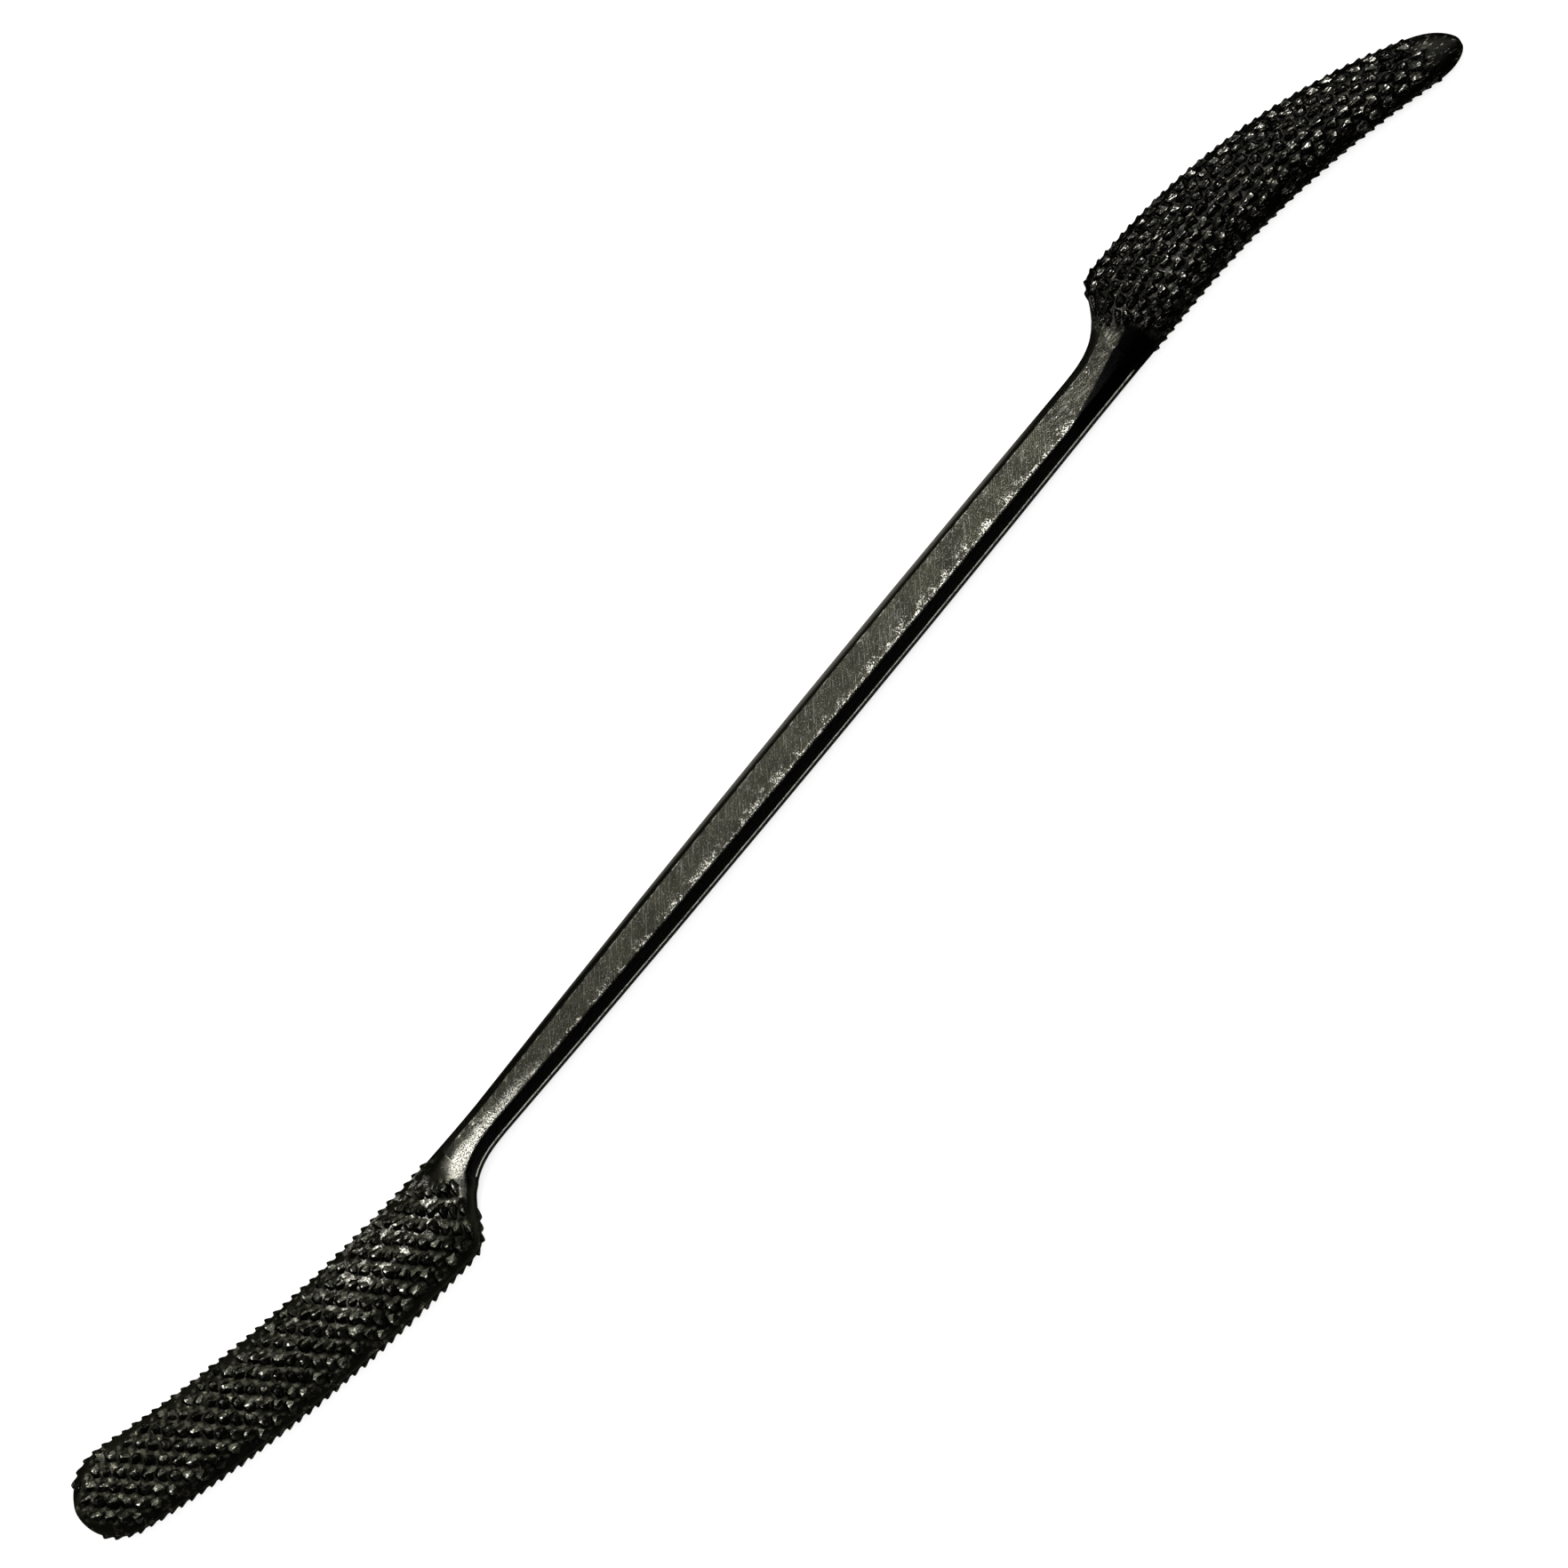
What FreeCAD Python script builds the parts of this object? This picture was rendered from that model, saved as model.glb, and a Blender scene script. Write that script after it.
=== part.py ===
import FreeCAD, Part
import math
import os

import Sketcher

# Double-ended riffler rasp, forged from one bar of tool steel.
#
# Frame: millimetres. +X runs along the shank towards the pointed head, +Z is up, and z = 0 is the flat
# underside of the shank, which the tool lies on. x = 0 is half way between the two tips.
# Each head bends in the XY plane. Its hollow edge carries on from one side of the shank as an arc, and
# its belly edge steps out from the other side at a shoulder.

V = FreeCAD.Vector

# Every driving size: (alias, value, what it is).
DRIVING = [
    ("overall_length", 197.0, "tip to tip along the shank, without teeth"),
    ("shank_width", 5.15, "widest place of the shank"),
    ("shank_thickness", 3.2, "flat to flat"),
    ("shank_chamfer", 1.05, "bevel along the four long edges"),
    ("swell_position", 16.0, "x of the widest place of the shank"),
    ("waist_width", 3.9, "shank where it meets the round head's neck"),
    ("round_end_length", 55.8, "round head with its neck, along X"),
    ("round_neck_length", 5.4, "smooth neck, up to the first teeth"),
    ("round_shoulder_length", 9.3, "from the neck's start to full width"),
    ("round_blade_width", 10.15, "round head at its shoulder"),
    ("round_tip_width", 9.2, "round head before its end rounds off"),
    ("round_blade_thickness", 3.6, "round head at its thickest"),
    ("round_tip_thickness", 2.3, "round head before its end rounds off"),
    ("round_tip_radius", 5.0, "length over which the end rounds off"),
    ("round_hollow_step", 0.05, "hollow edge beyond the side of the shank"),
    ("round_hollow_radius", 148.0, "hollow edge's arc"),
    ("round_bend_start", 3.0, "neck's start to the start of that arc"),
    ("point_end_length", 50.8, "pointed head with its neck, along X"),
    ("point_neck_length", 6.4, "smooth neck, up to the first teeth"),
    ("point_shoulder_length", 9.5, "from the neck's start to full width"),
    ("point_blade_width", 10.3, "pointed head at its shoulder"),
    ("point_tip_width", 4.3, "pointed head where its edges would meet the end"),
    ("point_blade_thickness", 3.6, "pointed head at its thickest"),
    ("point_tip_thickness", 1.9, "pointed head before its end rounds off"),
    ("point_tip_radius", 3.8, "length over which the end rounds off"),
    ("point_hollow_step", 0.25, "hollow edge beyond the side of the shank"),
    ("point_hollow_radius", 107.0, "hollow edge's arc"),
    ("point_bend_start", 15.0, "neck's start to the start of that arc"),
    ("tooth_root", 0.09, "depth of a tooth's foot in its blade"),
    ("round_tooth_height", 0.46, "tooth above the round head's blade"),
    ("round_tooth_width", 1.08, "cutting face along its foot"),
    ("round_tooth_length", 1.19, "tooth from heel to cutting face"),
    ("round_edge_tooth_width", 1.3, "tooth on an edge, along its foot"),
    ("round_edge_land", 1.2, "edge to the nearest tooth of the face or back"),
    ("round_row_pitch", 1.6, "row to row, square to the rows, at the first teeth"),
    ("round_row_pitch_at_tip", 1.46, "the same at the tip"),
    ("round_row_spacing", 1.19, "tooth to tooth in a row, at the first teeth"),
    ("round_row_spacing_at_tip", 1.4, "the same at the tip"),
    ("round_row_slant", 33.0, "degrees that a row leans from square, at the first teeth"),
    ("round_row_slant_at_tip", 56.0, "the same at the tip"),
    ("point_tooth_height", 0.32, "tooth above the pointed head's blade"),
    ("point_tooth_width", 0.86, "cutting face along its foot"),
    ("point_tooth_length", 1.15, "tooth from heel to cutting face"),
    ("point_edge_tooth_width", 1.1, "tooth on an edge, along its foot"),
    ("point_edge_land", 1.0, "edge to the nearest tooth of the face or back"),
    ("point_row_pitch", 1.45, "row to row, square to the rows, at the first teeth"),
    ("point_row_pitch_at_tip", 1.15, "the same at the tip"),
    ("point_row_spacing", 1.17, "tooth to tooth in a row, at the first teeth"),
    ("point_row_spacing_at_tip", 1.48, "the same at the tip"),
    ("point_row_slant", 26.0, "degrees that a row leans from square, at the first teeth"),
    ("point_row_slant_at_tip", 62.0, "the same at the tip"),
    ("back_clearance", 0.12, "teeth of the back above the surface that the shank lies on"),
]

# The oval of a blade, as angles on its ellipses: where the edge land ends and where the crown begins.
LAND_ANGLE = math.radians(20)
CROWN_ANGLE = math.radians(62)
BACK_SHARE = 0.42  # share of a blade's thickness below its widest plane
BELLY_POWER = 1.85  # how late the pointed head narrows
SHOULDER_POWER = {"round": 2.9, "point": 3.1}  # how late the shoulder steps out
SHOULDER_CORNER = 8.0  # how crisp its corner is
THICKEST = 0.3  # share of an end's length where its blade is thickest
DOME_SHARE = 0.55  # share of the thickness that a rounded end keeps
BARE_TIP = {"round": 0.24, "point": 1.0}  # share of the rounded end without teeth
FRONT_SHARE = 0.38  # share of a tooth's length in front of its middle
HEEL_SHARE = 0.4  # heel's width as a share of the cutting face's
APEX_SHARE = 0.08  # how far forward a tooth's point leans, as a share of its length
ROW_SHIFT = 0.3  # share of its spacing by which a row is stepped aside from the one before

doc = FreeCAD.newDocument("riffler_rasp")
sheet = doc.addObject("Spreadsheet::Sheet", "Sizes")
for row, (alias, value, note) in enumerate(DRIVING, start=1):
    sheet.set(f"A{row}", note)
    sheet.set(f"B{row}", str(value))
    sheet.setAlias(f"B{row}", alias)
doc.recompute()


def size(alias):
    return float(getattr(sheet, alias))


def plane(body, role):
    return next(f for f in body.Origin.OriginFeatures if f.Role == role)


def new_sketch(body, name, role):
    sketch = body.newObject("Sketcher::SketchObject", name)
    sketch.AttachmentSupport = [(plane(body, role), "")]
    sketch.MapMode = "FlatFace"
    return sketch


def bound(sketch, name, constraint, expression):
    """Adds a named dimension to a sketch and binds it to the sheet."""
    index = sketch.addConstraint(constraint)
    sketch.renameConstraint(index, name)
    sketch.setExpression("Constraints." + name, expression)


# ---------------------------------------------------------------- shank

def shank_half_width(x):
    """Half the shank's width at x: its sides are shallow arcs about the swell position."""
    reach = size("swell_position") - shank_start()
    swell = (size("shank_width") - size("waist_width")) / 2
    radius = (reach**2 + swell**2) / (2 * swell)
    drop = radius - math.sqrt(radius**2 - (x - size("swell_position")) ** 2)
    return size("shank_width") / 2 - drop


def shank_start():
    return -size("overall_length") / 2 + size("round_end_length")


def shank_end():
    return size("overall_length") / 2 - size("point_end_length")


def make_shank():
    """Bar with two shallow arcs for sides, padded to its thickness and bevelled along its length."""
    body = doc.addObject("PartDesign::Body", "shank")
    plan = new_sketch(body, "shank_plan", "XY_Plane")
    x0, x1, xs = shank_start(), shank_end(), size("swell_position")
    y0, y1, ys = shank_half_width(x0), shank_half_width(x1), shank_half_width(xs)
    plan.addGeometry(Part.Arc(V(x1, y1, 0), V(xs, ys, 0), V(x0, y0, 0)))
    plan.addGeometry(Part.LineSegment(V(x0, y0, 0), V(x0, -y0, 0)))
    plan.addGeometry(Part.Arc(V(x0, -y0, 0), V(xs, -ys, 0), V(x1, -y1, 0)))
    plan.addGeometry(Part.LineSegment(V(x1, -y1, 0), V(x1, y1, 0)))
    for first, second in ((0, 1), (1, 2), (2, 3), (3, 0)):
        plan.addConstraint(Sketcher.Constraint("Coincident", first, 2, second, 1))
    plan.addConstraint(Sketcher.Constraint("Symmetric", 1, 1, 1, 2, -1))
    plan.addConstraint(Sketcher.Constraint("Symmetric", 3, 1, 3, 2, -1))
    plan.addConstraint(Sketcher.Constraint("Equal", 0, 2))
    half = "<<Sizes>>.overall_length / 2"
    start = f"({half} - <<Sizes>>.round_end_length)"
    swell = "(<<Sizes>>.shank_width - <<Sizes>>.waist_width)"
    reach = f"(<<Sizes>>.swell_position + {start})"
    bound(plan, "start", Sketcher.Constraint("DistanceX", 0, 2, -1, 1, -x0), start)
    bound(plan, "finish", Sketcher.Constraint("DistanceX", -1, 1, 0, 1, x1),
          f"{half} - <<Sizes>>.point_end_length")
    bound(plan, "swell", Sketcher.Constraint("DistanceX", -1, 1, 0, 3, xs), "<<Sizes>>.swell_position")
    bound(plan, "waist", Sketcher.Constraint("DistanceY", 1, 2, 1, 1, 2 * y0), "<<Sizes>>.waist_width")
    bound(plan, "side_radius", Sketcher.Constraint("Radius", 0, plan.Geometry[0].Radius),
          f"({reach}^2 + ({swell} / 2)^2) / {swell}")
    pad = body.newObject("PartDesign::Pad", "shank_bar")
    pad.Profile = plan
    pad.setExpression("Length", "<<Sizes>>.shank_thickness")
    plan.Visibility = False
    doc.recompute()
    long_edges = [f"Edge{i}" for i, edge in enumerate(pad.Shape.Edges, start=1)
                  if edge.BoundBox.XLength > (x1 - x0) / 2]
    bevel = body.newObject("PartDesign::Chamfer", "shank_bevel")
    bevel.Base = (pad, long_edges)
    bevel.setExpression("Size", "<<Sizes>>.shank_chamfer")
    return body


# ---------------------------------------------------------------- heads

def smooth(t):
    """Runs from 0 to 1 with no kink at either end."""
    t = min(1.0, max(0.0, t))
    return t**3 * (10 - 15 * t + 6 * t * t)


class End:
    """One end of the tool. Distances are measured along its hollow edge from the neck's start."""

    def __init__(self, name, x_way, hollow_side, start, neck_half_width):
        self.name = name
        self.x_way = x_way
        self.hollow_side = hollow_side
        self.start = start
        self.hollow_offset = neck_half_width
        self.radius = self.size("hollow_radius")
        self.bend_start = self.size("bend_start")
        reach = size(f"{name}_end_length") - self.bend_start
        tip_turn = math.asin(reach / (self.radius + self.size("tip_width") / 2))
        self.length = self.bend_start + self.radius * tip_turn

    def size(self, what):
        return size(f"{self.name}_{what}")

    def cell(self, what):
        return f"{self.name}_{what}"

    def turn(self, along):
        return max(0.0, along - self.bend_start) / self.radius

    def rounding(self, along):
        """0 where the sides still run, up to 1 at the very end of the head."""
        radius = self.size("tip_radius")
        return min(1.0, max(0.0, (along - (self.length - radius)) / radius))

    def full_width(self, along):
        """Width between the sides, before the end is rounded off."""
        neck = 2 * self.hollow_offset
        shoulder = self.size("shoulder_length")
        rise = (along / shoulder) ** SHOULDER_POWER[self.name]
        grown = rise / (1 + rise**SHOULDER_CORNER) ** (1 / SHOULDER_CORNER)
        past = max(0.0, along - shoulder) / (self.length - shoulder)
        late = past**BELLY_POWER if self.name == "point" else past
        blade = self.size("blade_width") + (self.size("tip_width") - self.size("blade_width")) * late
        return neck + (blade - neck) * grown

    def ovalness(self, along):
        """0 for the shank's bevelled bar, 1 for the oval of the blade."""
        return smooth(along / self.size("shoulder_length"))

    def thickness(self, along):
        thickest = THICKEST * self.length
        bar, blade, tip = size("shank_thickness"), self.size("blade_thickness"), self.size("tip_thickness")
        if along < thickest:
            return bar + (blade - bar) * smooth(along / thickest)
        return blade + (tip - blade) * ((along - thickest) / (self.length - thickest)) ** 1.5

    def section(self, along):
        """(half width, height above and depth below the widest plane, middle, height of that plane)."""
        dome = math.sqrt(1 - self.rounding(along) ** 2)
        oval = self.ovalness(along)
        half = self.full_width(along) / 2 * dome
        thick = self.thickness(along) * (DOME_SHARE + (1 - DOME_SHARE) * dome)
        shrink = (self.thickness(along) - thick) * BACK_SHARE
        below = thick * (0.5 + (BACK_SHARE - 0.5) * oval)
        lift = (self.size("tooth_height") + size("back_clearance")) * oval + shrink
        turn = self.turn(along)
        middle = self.full_width(along) / 2
        straight = min(along, self.bend_start)
        x = self.start + self.x_way * (straight + (self.radius + middle) * math.sin(turn))
        edge = self.hollow_offset + self.size("hollow_step") * oval
        y = self.hollow_side * (edge + self.radius - (self.radius + middle) * math.cos(turn))
        return half, thick - below, below, V(x, y, lift + below)

    def axes(self, along):
        """Unit vectors towards the belly edge and towards the tip."""
        turn = self.turn(along)
        belly = V(self.x_way * math.sin(turn), -self.hollow_side * math.cos(turn), 0)
        tip = V(self.x_way * math.cos(turn), self.hollow_side * math.sin(turn), 0)
        return belly, tip

    def surface(self, along, angle):
        """Point of the oval at an angle: 0 at the belly edge, 90 degrees on the crown."""
        half, above, below, centre = self.section(along)
        belly, _ = self.axes(along)
        height = above if math.sin(angle) > 0 else below
        return centre + belly * (half * math.cos(angle)) + V(0, 0, height * math.sin(angle))

    def outward(self, along, angle):
        """Unit vectors out of the surface and along it towards the tip."""
        step = 0.02
        ahead = self.surface(along + step, angle) - self.surface(along - step, angle)
        around = self.surface(along, angle + step) - self.surface(along, angle - step)
        normal = ahead.cross(around).normalize()
        if normal.dot(self.surface(along, angle) - self.section(along)[3]) < 0:
            normal = -normal
        return normal, ahead.normalize()

    def corners(self, along):
        """Right-hand corners of a section and the middles of its sides, as (x, z) about its centre.

        Four corners from the bottom flat up to the top flat, then the middles of the bottom, lower bevel,
        land, upper bevel and top sides.
        """
        half, above, below, _ = self.section(along)
        oval = self.ovalness(along)
        bevel = size("shank_chamfer")
        bar = [(half - bevel, -below), (half, bevel - below), (half, above - bevel), (half - bevel, above)]
        angles = [-CROWN_ANGLE, -LAND_ANGLE, LAND_ANGLE, CROWN_ANGLE]

        def on_oval(angle):
            return half * math.cos(angle), (above if angle > 0 else below) * math.sin(angle)

        def mixed(first, second):
            return tuple(a + (b - a) * oval for a, b in zip(first, second))

        def between(first, second):
            return tuple((a + b) / 2 for a, b in zip(first, second))

        corner = [mixed(b, on_oval(a)) for b, a in zip(bar, angles)]
        slant = (LAND_ANGLE + CROWN_ANGLE) / 2
        middle = [
            mixed((0, -below), (0, -below)),
            mixed(between(bar[0], bar[1]), on_oval(-slant)),
            mixed(between(bar[1], bar[2]), (half, 0)),
            mixed(between(bar[2], bar[3]), on_oval(slant)),
            mixed((0, above), (0, above)),
        ]
        return corner, middle


def make_section(body, end, number, along):
    """A bound sketch of eight sides, symmetric left to right: flats and bevels that swell into an oval."""
    sketch = new_sketch(body, f"{end.name}_section_{number}", "YZ_Plane")
    centre = end.section(along)[3]
    turned = FreeCAD.Rotation(V(0, 1, 0), -math.degrees(end.turn(along)))
    sketch.AttachmentOffset = FreeCAD.Placement(V(centre.y, centre.z, centre.x), turned)
    corner, middle = end.corners(along)
    right = [V(x, z, 0) for x, z in corner]
    left = [V(-x, z, 0) for x, z in reversed(corner)]
    points = right + left
    mids = [V(*middle[i], 0) for i in (1, 2, 3, 4)] + [V(-middle[i][0], middle[i][1], 0) for i in (3, 2, 1, 0)]
    for i, point in enumerate(points):
        after = points[(i + 1) % 8]
        curved = abs((point + after).sub(mids[i] * 2).Length) > 2e-3
        sketch.addGeometry(Part.Arc(point, mids[i], after) if curved else Part.LineSegment(point, after))
    for i in range(8):
        sketch.addConstraint(Sketcher.Constraint("Coincident", i, 2, (i + 1) % 8, 1))
    for i in range(4):
        sketch.addConstraint(Sketcher.Constraint("Symmetric", i, 1, (7 - i), 1, -2))
    sketch.addConstraint(Sketcher.Constraint("Vertical", 1, 1, 2, 1))
    sketch.addConstraint(Sketcher.Constraint("Vertical", 0, 1, 3, 1))
    wide, thick = end.cell("blade_width"), end.cell("blade_thickness")
    dims = [
        ("flat_width", "DistanceX", 7, 0, 2 * corner[0][0], wide),
        ("land_width", "DistanceX", 6, 1, 2 * corner[1][0], wide),
        ("foot", "DistanceY", 0, None, -corner[0][1], thick),
        ("land_foot", "DistanceY", 1, None, -corner[1][1], thick),
        ("land_top", "DistanceY", None, 2, corner[2][1], thick),
        ("crown", "DistanceY", None, 3, corner[3][1], thick),
    ]
    for name, kind, first, second, value, cell in dims:
        a = (first, 1) if first is not None else (-1, 1)
        b = (second, 1) if second is not None else (-1, 1)
        bound(sketch, name, Sketcher.Constraint(kind, *a, *b, value),
              f"<<Sizes>>.{cell} * {value / size(cell):.9f}")
    sketch.Visibility = False
    return sketch


def stations(end):
    """Places for the sections of the neck and of the blade. The two share the section where they meet."""
    neck, shoulder, radius = end.size("neck_length"), end.size("shoulder_length"), end.size("tip_radius")
    sides_end = end.length - radius
    neck_places = [neck * share for share in (0, 0.25, 0.5, 0.75, 1)]
    flare = 0.86 * shoulder
    blade_places = [neck + (flare - neck) * share for share in (0, 0.25, 0.5, 0.75)]
    blade_places += [shoulder * share for share in (0.86, 0.92, 0.98, 1.04, 1.11, 1.21, 1.36, 1.55, 1.75)]
    steps = 12
    first = blade_places[-1]
    blade_places += [first + (sides_end - first) * i / steps for i in range(1, steps + 1)]
    blade_places += [sides_end + radius * math.sin(math.radians(angle)) for angle in (25, 45, 60, 72, 80)]
    return neck_places, blade_places


def make_head(end):
    """Neck and blade, each lofted through its sections."""
    parts = []
    number = 0
    for zone, places in zip(("neck", "blade"), stations(end)):
        body = doc.addObject("PartDesign::Body", f"{end.name}_{zone}")
        sections = []
        for along in places:
            sections.append(make_section(body, end, number, along))
            number += 1
        loft = body.newObject("PartDesign::AdditiveLoft", f"{end.name}_{zone}_loft")
        loft.Profile = sections[0]
        loft.Sections = sections[1:]
        parts.append(body)
    return parts


# ---------------------------------------------------------------- teeth

def tooth_solid(end, along, angle, width):
    """A punched tooth on four points of the blade: a steep cornered face towards the tip, a long back."""
    long, high = end.size("tooth_length"), end.size("tooth_height")
    place = end.surface(along, angle)
    normal, forward = end.outward(along, angle)
    across = end.surface(along, angle + 0.01).distanceToPoint(end.surface(along, angle - 0.01)) / 0.02
    front, heel = along + FRONT_SHARE * long, along - (1 - FRONT_SHARE) * long
    half_front, half_heel = width / 2 / across, width * HEEL_SHARE / 2 / across
    foot = []
    for where, aside in ((front, half_front), (heel, half_heel), (heel, -half_heel), (front, -half_front)):
        sunk = end.outward(where, angle + aside)[0] * size("tooth_root")
        foot.append(end.surface(where, angle + aside) - sunk)
    apex = place + forward * (APEX_SHARE * long) + normal * high
    corners = [(foot[0], foot[1], foot[2]), (foot[0], foot[2], foot[3])]
    corners += [(foot[(i + 1) % 4], foot[i], apex) for i in range(4)]
    faces = [Part.Face(Part.makePolygon([*three, three[0]])) for three in corners]
    return Part.makeSolid(Part.makeShell(faces))


def spaced(points, spacing, first, spare):
    """Positions evenly spaced along a curve given as (position, point) pairs, up to a spare length short."""
    runs = [0.0]
    for (_, before), (_, after) in zip(points, points[1:]):
        runs.append(runs[-1] + before.distanceToPoint(after))
    found, wanted = [], first
    while wanted < runs[-1] - spare:
        found.append(next(position for run, (position, _) in zip(runs, points) if run >= wanted))
        wanted += spacing
    return found


def graded(end, what, along):
    """A size of the rows, which changes evenly from the first teeth to the tip."""
    share = (along - end.size("neck_length")) / (end.length - end.size("neck_length"))
    at_root, at_tip = end.size(what), end.size(f"{what}_at_tip")
    return at_root + (at_tip - at_root) * min(1.0, max(0.0, share))


def angle_beside(end, along, middle, across):
    """Angle of the point a distance across from the middle of a face, or None if it lies on the edge land.

    The distance is positive towards the hollow edge.
    """
    steps = 60
    turn = math.copysign(math.pi / 2 / steps, across * middle)
    run, found, before = 0.0, None, end.surface(along, middle)
    for i in range(1, steps + 1):
        after = end.surface(along, middle + turn * i)
        stride = before.distanceToPoint(after)
        if found is None and run + stride >= abs(across):
            found = middle + turn * (i - (run + stride - abs(across)) / stride)
        run += stride
        before = after
    return found if run - abs(across) > end.size("edge_land") else None


def tooth_places(end):
    """(zone, distance, angle, width) of each tooth: leaning rows on face and back, one row on each edge."""
    long, width = end.size("tooth_length"), end.size("tooth_width")
    first = end.size("neck_length") + long
    last = end.length - BARE_TIP[end.name] * end.size("tip_radius")
    half = end.size("blade_width") / 2
    reach = half * math.tan(math.radians(graded(end, "row_slant", last)))
    inner = end.full_width(first) / 2 - end.size("edge_land")
    start = first + inner * math.tan(math.radians(end.size("row_slant")))
    number, level = 0, start
    while level < last + reach:
        slant = math.radians(graded(end, "row_slant", level))
        step = graded(end, "row_spacing", level) * math.cos(slant)
        count = math.ceil(half / step) + 1
        for place in range(-count, count + 1):
            across = (place - (ROW_SHIFT * number) % 1) * step
            along = level + across * math.tan(slant)
            if first <= along <= last:
                for zone, middle in (("face_teeth", math.pi / 2), ("back_teeth", -math.pi / 2)):
                    angle = angle_beside(end, along, middle, across)
                    if angle is not None:
                        yield zone, along, angle, width
        number += 1
        level += graded(end, "row_pitch", level) / math.cos(slant)
    steps = 600
    for zone, angle in (("belly_teeth", 0.0), ("hollow_teeth", math.pi)):
        edge = [start + (last - start) * i / steps for i in range(steps + 1)]
        for along in spaced([(e, end.surface(e, angle)) for e in edge], long, 0.0, 0.0):
            yield zone, along, angle, end.size("edge_tooth_width")


def make_teeth(end):
    """Teeth of one head, grouped by the side that they stand on."""
    groups = {}
    for zone, along, angle, width in tooth_places(end):
        groups.setdefault(zone, []).append(tooth_solid(end, along, angle, width))
    teeth = []
    for zone, solids in groups.items():
        feature = doc.addObject("Part::Feature", f"{end.name}_{zone}")
        feature.Shape = Part.makeCompound(solids)
        teeth.append(feature)
    return teeth


# ---------------------------------------------------------------- the tool

shank = make_shank()
ends = [
    End("round", -1, 1, shank_start(), shank_half_width(shank_start())),
    End("point", 1, -1, shank_end(), shank_half_width(shank_end())),
]
subparts = [shank]
for end in ends:
    subparts += make_head(end)
    subparts += make_teeth(end)
doc.recompute()

for item in doc.Objects:
    if {"Invalid", "Error"} & set(item.State):
        raise RuntimeError(f"{item.Name} failed: {item.State}")
for item in subparts:
    if item.Shape.isNull() or not item.Shape.isValid():
        raise RuntimeError(f"{item.Name} has no valid shape")

os.makedirs("parts", exist_ok=True)
for item in subparts:
    item.Shape.exportStep(f"parts/{item.Label}.step")
    box = item.Shape.BoundBox
    print(f"{item.Label}: {len(item.Shape.Solids)} solids, {item.Shape.Volume:.1f} mm3, "
          f"{box.XMin:.2f}..{box.XMax:.2f}, {box.YMin:.2f}..{box.YMax:.2f}, {box.ZMin:.2f}..{box.ZMax:.2f}")
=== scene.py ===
"""Looks of a double-ended riffler rasp: a ground steel shank with a forged, punched rasp head on each end."""
import math
import random

import bmesh
import bpy
from mathutils import Matrix, Vector, kdtree


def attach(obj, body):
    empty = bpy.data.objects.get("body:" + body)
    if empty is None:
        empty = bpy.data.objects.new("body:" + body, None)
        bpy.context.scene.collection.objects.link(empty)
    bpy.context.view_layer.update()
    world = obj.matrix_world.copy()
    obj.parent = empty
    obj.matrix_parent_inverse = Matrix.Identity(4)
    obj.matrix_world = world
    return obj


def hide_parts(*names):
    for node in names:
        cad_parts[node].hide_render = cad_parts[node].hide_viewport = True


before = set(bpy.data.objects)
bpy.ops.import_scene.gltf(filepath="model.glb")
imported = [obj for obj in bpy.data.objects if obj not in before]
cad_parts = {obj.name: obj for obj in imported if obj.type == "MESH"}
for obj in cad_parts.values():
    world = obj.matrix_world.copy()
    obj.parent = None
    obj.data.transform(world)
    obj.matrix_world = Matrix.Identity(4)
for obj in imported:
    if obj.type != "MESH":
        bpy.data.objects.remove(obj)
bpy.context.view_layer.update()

# ---------------------------------------------------------------------------
# The shank
# A bar of carbon steel, forged to a flat rectangle and ground on its broad faces and four corners.
# It is the handle of the tool: grinding lines cross it on the skew, and the hand rubs its arrises bright.
# ---------------------------------------------------------------------------

ARRIS = 0.00010
STEEL = (0.028, 0.028, 0.020, 1.0)
OILED_STEEL = (0.012, 0.012, 0.009, 1.0)
# Dark steel, for the darker flanks and for painted shade.
SCALE_AND_SHADE = (0.010, 0.010, 0.009, 1.0)
# Near black, for the oil of the pointed blade and for painted shade.
BLACK_OIL_AND_SHADE = (0.002, 0.002, 0.002, 1.0)
# Bright bare steel, for real wear and for painted sheen and highlights.
RUBBED_AND_SHEEN_STEEL = (0.42, 0.41, 0.36, 1.0)


class Layer:
    """A number, colour or direction that changes over the steel: one output of a finish."""

    def __init__(self, finish, socket):
        self.finish = finish
        self.socket = socket

    def worked(self, operation, *values):
        return self.finish.node("ShaderNodeMath", {"operation": operation}, dict(enumerate(values)))

    def __add__(self, other):
        return self.worked("ADD", self, other)

    def __radd__(self, other):
        return self.worked("ADD", other, self)

    def __sub__(self, other):
        return self.worked("SUBTRACT", self, other)

    def __rsub__(self, other):
        return self.worked("SUBTRACT", other, self)

    def __mul__(self, other):
        return self.worked("MULTIPLY", self, other)

    def __rmul__(self, other):
        return self.worked("MULTIPLY", other, self)

    def rising(self, low, high):
        """0 below low, 1 above high, with an eased step between. Low may be the larger number."""
        values = {"Value": self, "From Min": low, "From Max": high, "To Min": 0.0, "To Max": 1.0}
        return self.finish.node("ShaderNodeMapRange", {"interpolation_type": "SMOOTHSTEP"}, values)


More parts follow.
